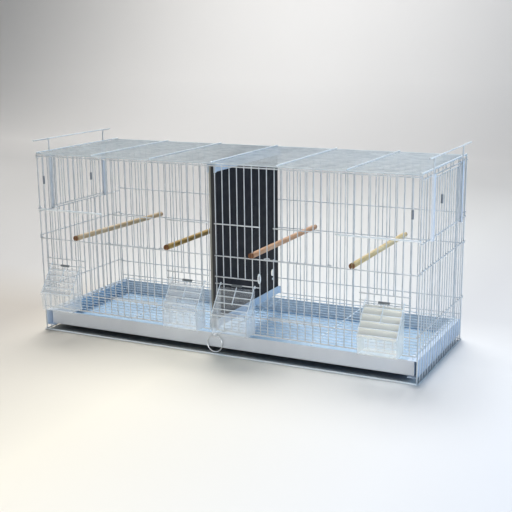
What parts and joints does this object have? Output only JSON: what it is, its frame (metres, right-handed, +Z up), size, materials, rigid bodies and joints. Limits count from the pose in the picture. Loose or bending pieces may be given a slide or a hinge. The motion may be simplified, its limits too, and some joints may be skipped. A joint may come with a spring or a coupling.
{
  "type": "double breeding cage",
  "caption": "Long wire bird cage with a sliding centre divider, lift-up front and end doors, hinged feeder guards over clear cups, wooden perches and a pull-out floor tray.",
  "frame": {"origin": "centre of the footprint's bounding box, on the floor", "axes": "+X to the right along the front, +Y from the front to the back, +Z up; the doors and feeders face -Y"},
  "size_m": [0.9222, 0.381, 0.4435],
  "materials": {
    "white_wire": "satin",
    "pale_blue_sheet": "satin",
    "grey_sheet": "satin",
    "dark_sheet": "matt",
    "grey_plastic": "satin",
    "dark_plastic": "satin",
    "clear_plastic": "clear gloss",
    "perch_wood": "plain",
    "bright_steel": "plated"
  },
  "bodies": {
    "cage": {"front_panel": "white_wire", "back_panel": "white_wire", "side_panel_left": "white_wire", "side_panel_right": "white_wire", "corner_posts": "white_wire", "corner_hooks": "white_wire", "roof_panel": "white_wire", "front_clips": "dark_plastic", "feeder_hinge_wires": "white_wire", "cup_rests": "white_wire", "feeder_cup_1": "clear_plastic", "feeder_cup_2": "clear_plastic", "feeder_cup_3": "clear_plastic", "feeder_cup_4": "clear_plastic", "perch_1": "perch_wood", "perch_2": "perch_wood", "perch_3": "perch_wood", "perch_4": "perch_wood", "nest_door_channels_left": "pale_blue_sheet", "nest_door_channels_right": "pale_blue_sheet", "tray_runner_left": "grey_sheet", "tray_runner_right": "grey_sheet", "divider_floor_guide": "pale_blue_sheet", "divider_roof_guide": "pale_blue_sheet"},
    "front_door_left": {"front_door_left": "white_wire"},
    "front_door_right": {"front_door_right": "white_wire"},
    "nest_door_left": {"nest_door_left": "white_wire", "nest_door_catch_left": "dark_plastic"},
    "nest_door_right": {"nest_door_right": "white_wire", "nest_door_catch_right": "dark_plastic"},
    "tray": {"tray": "grey_sheet", "ring_strap": "bright_steel"},
    "tray_ring": {"tray_ring": "bright_steel"},
    "floor_grille": {"floor_grille": "white_wire"},
    "divider": {"divider_sheet": "dark_sheet", "divider_trim": "grey_plastic"},
    "feeder_guard_1": {"feeder_guard_1": "white_wire", "feeder_guard_tab_1": "grey_plastic"},
    "feeder_guard_2": {"feeder_guard_2": "white_wire", "feeder_guard_tab_2": "grey_plastic"},
    "feeder_guard_3": {"feeder_guard_3": "white_wire", "feeder_guard_tab_3": "grey_plastic"},
    "feeder_guard_4": {"feeder_guard_4": "white_wire", "feeder_guard_tab_4": "grey_plastic"}
  },
  "joints": [
    {"name": "front_door_left_lift", "type": "slide", "parent": "cage", "child": "front_door_left", "axis": [0, 0, 1], "range_m": [0, 0.179]},
    {"name": "front_door_right_lift", "type": "slide", "parent": "cage", "child": "front_door_right", "axis": [0, 0, 1], "range_m": [0, 0.179]},
    {"name": "nest_door_left_lift", "type": "slide", "parent": "cage", "child": "nest_door_left", "axis": [0, 0, 1], "range_m": [0, 0.105]},
    {"name": "nest_door_right_lift", "type": "slide", "parent": "cage", "child": "nest_door_right", "axis": [0, 0, 1], "range_m": [0, 0.105]},
    {"name": "feeder_guard_1_swing", "type": "hinge", "parent": "cage", "child": "feeder_guard_1", "pos_m": [-0.38207, -0.1417, 0.16], "axis": [-1, 0, 0], "range_deg": [0, 110]},
    {"name": "feeder_guard_2_swing", "type": "hinge", "parent": "cage", "child": "feeder_guard_2", "pos_m": [-0.05943, -0.1417, 0.16], "axis": [-1, 0, 0], "range_deg": [0, 110]},
    {"name": "feeder_guard_3_swing", "type": "hinge", "parent": "cage", "child": "feeder_guard_3", "pos_m": [0.05943, -0.1417, 0.16], "axis": [-1, 0, 0], "range_deg": [0, 110]},
    {"name": "feeder_guard_4_swing", "type": "hinge", "parent": "cage", "child": "feeder_guard_4", "pos_m": [0.38207, -0.1417, 0.16], "axis": [-1, 0, 0], "range_deg": [0, 110]},
    {"name": "tray_pull", "type": "slide", "parent": "cage", "child": "tray", "axis": [0, -1, 0], "range_m": [0, 0.27]},
    {"name": "tray_ring_swing", "type": "hinge", "parent": "tray", "child": "tray_ring", "pos_m": [0, -0.1385, 0.0417], "axis": [-1, 0, 0], "range_deg": [-10, 95]},
    {"name": "floor_grille_pull", "type": "slide", "parent": "cage", "child": "floor_grille", "axis": [0, -1, 0], "range_m": [0, 0.27]},
    {"name": "divider_pull", "type": "slide", "parent": "cage", "child": "divider", "axis": [0, -1, 0], "range_m": [0, 0.27]}
  ]
}
